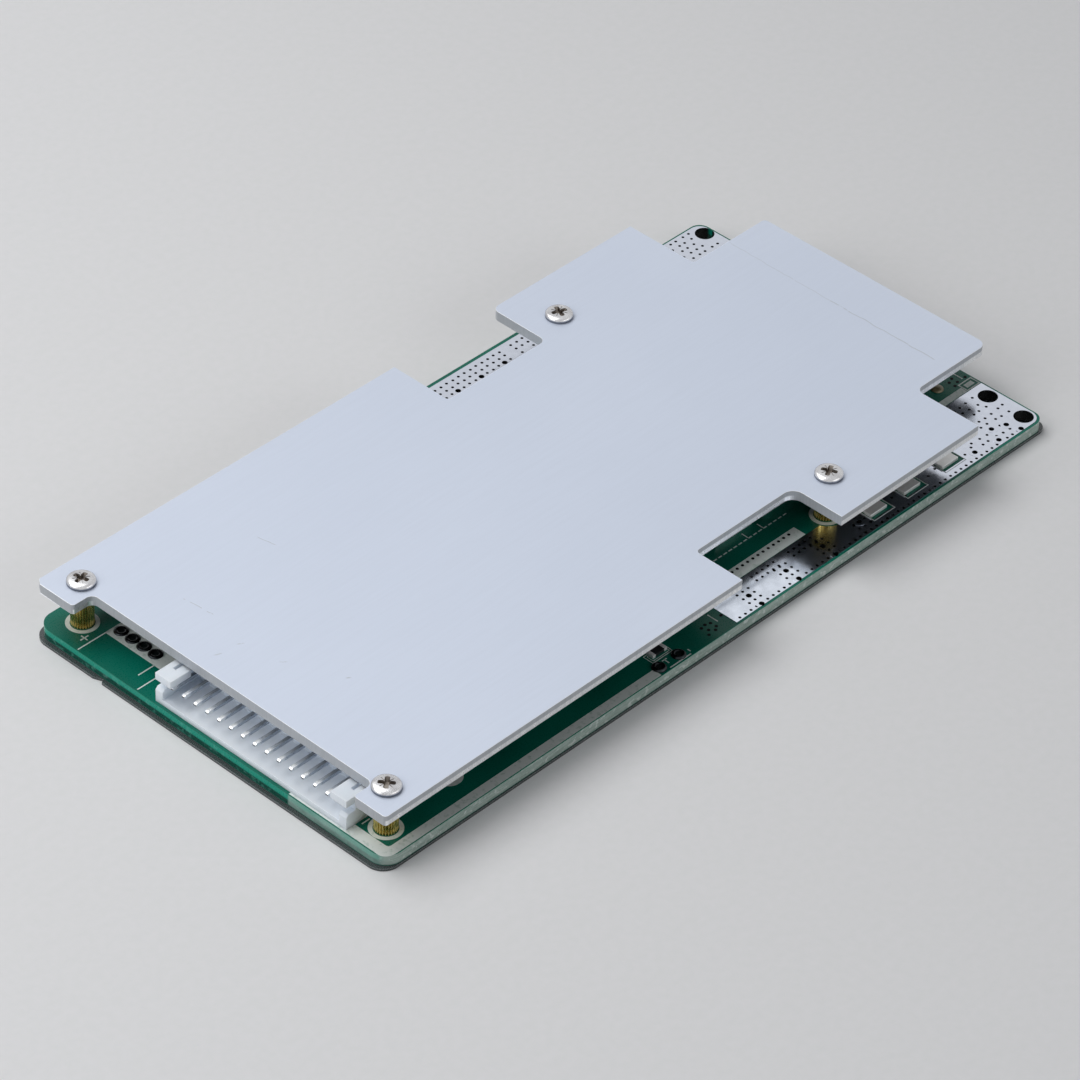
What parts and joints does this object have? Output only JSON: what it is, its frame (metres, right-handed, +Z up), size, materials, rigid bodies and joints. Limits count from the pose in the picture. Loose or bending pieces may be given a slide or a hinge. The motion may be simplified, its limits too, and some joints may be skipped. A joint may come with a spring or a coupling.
{
  "type": "battery management board",
  "caption": "Circuit board with a bolted metal heat plate on knurled standoffs, a side-entry sense header between the plate's tabs, and tinned pads with terminal holes at the corners.",
  "frame": {"origin": "middle of the underside of the insulating film, which is the bottom centre of the bounding box", "axes": "+X along the board from the sense header to the terminal holes, +Y across the board from the battery pad to the rear pad, +Z up out of the board towards the heat plate"},
  "size_m": [0.15, 0.0746, 0.0113],
  "materials": {
    "clear_film": "clear, smooth",
    "solder_mask": "green solder mask with white print",
    "tinned_copper": "bright tin, wavy",
    "dull_solder": "dull solder rings",
    "plate_aluminium": "fine matte, blue-white",
    "standoff_brass": "knurled",
    "screw_steel": "nickel plated",
    "header_nylon": "milky white nylon",
    "gap_pad_rubber": "soft grey",
    "resistor_body": "black with tinned ends",
    "chip_body": "black moulding with tinned leads",
    "can_steel": "drawn can",
    "capacitor_ceramic": "tan with tinned ends",
    "pin_metal": "bright tin plated",
    "shunt_metal": "bright, brushed"
  },
  "bodies": {
    "root": {"insulating_film": "clear_film", "circuit_board": "solder_mask", "battery_pad": "tinned_copper", "output_pad": "tinned_copper", "rear_pad": "tinned_copper", "sense_ring_pads": "dull_solder", "probe_ring_pads": "dull_solder", "heat_plate": "plate_aluminium", "standoffs": "standoff_brass", "plate_screws": "screw_steel", "header_housing": "header_nylon", "charge_gap_pad": "gap_pad_rubber", "discharge_gap_pad": "gap_pad_rubber", "link_resistor": "resistor_body", "monitor_chip": "chip_body", "controller_chip": "chip_body", "regulator": "chip_body", "driver_chips": "chip_body", "crystal": "can_steel", "balance_resistors": "resistor_body", "filter_capacitors": "capacitor_ceramic", "header_joints": "tinned_copper", "header_pin_1": "pin_metal", "header_pin_2": "pin_metal", "header_pin_3": "pin_metal", "header_pin_4": "pin_metal", "header_pin_5": "pin_metal", "header_pin_6": "pin_metal", "header_pin_7": "pin_metal", "header_pin_8": "pin_metal", "header_pin_9": "pin_metal", "header_pin_10": "pin_metal", "header_pin_11": "pin_metal", "header_pin_12": "pin_metal", "header_pin_13": "pin_metal", "header_pin_14": "pin_metal", "header_pin_15": "pin_metal", "charge_switch_1": "chip_body", "charge_switch_2": "chip_body", "charge_switch_3": "chip_body", "charge_switch_4": "chip_body", "charge_switch_5": "chip_body", "charge_switch_6": "chip_body", "discharge_switch_1": "chip_body", "discharge_switch_2": "chip_body", "discharge_switch_3": "chip_body", "discharge_switch_4": "chip_body", "discharge_switch_5": "chip_body", "discharge_switch_6": "chip_body", "shunt_resistor_1": "shunt_metal", "shunt_resistor_2": "shunt_metal", "shunt_resistor_3": "shunt_metal"}
  },
  "joints": []
}
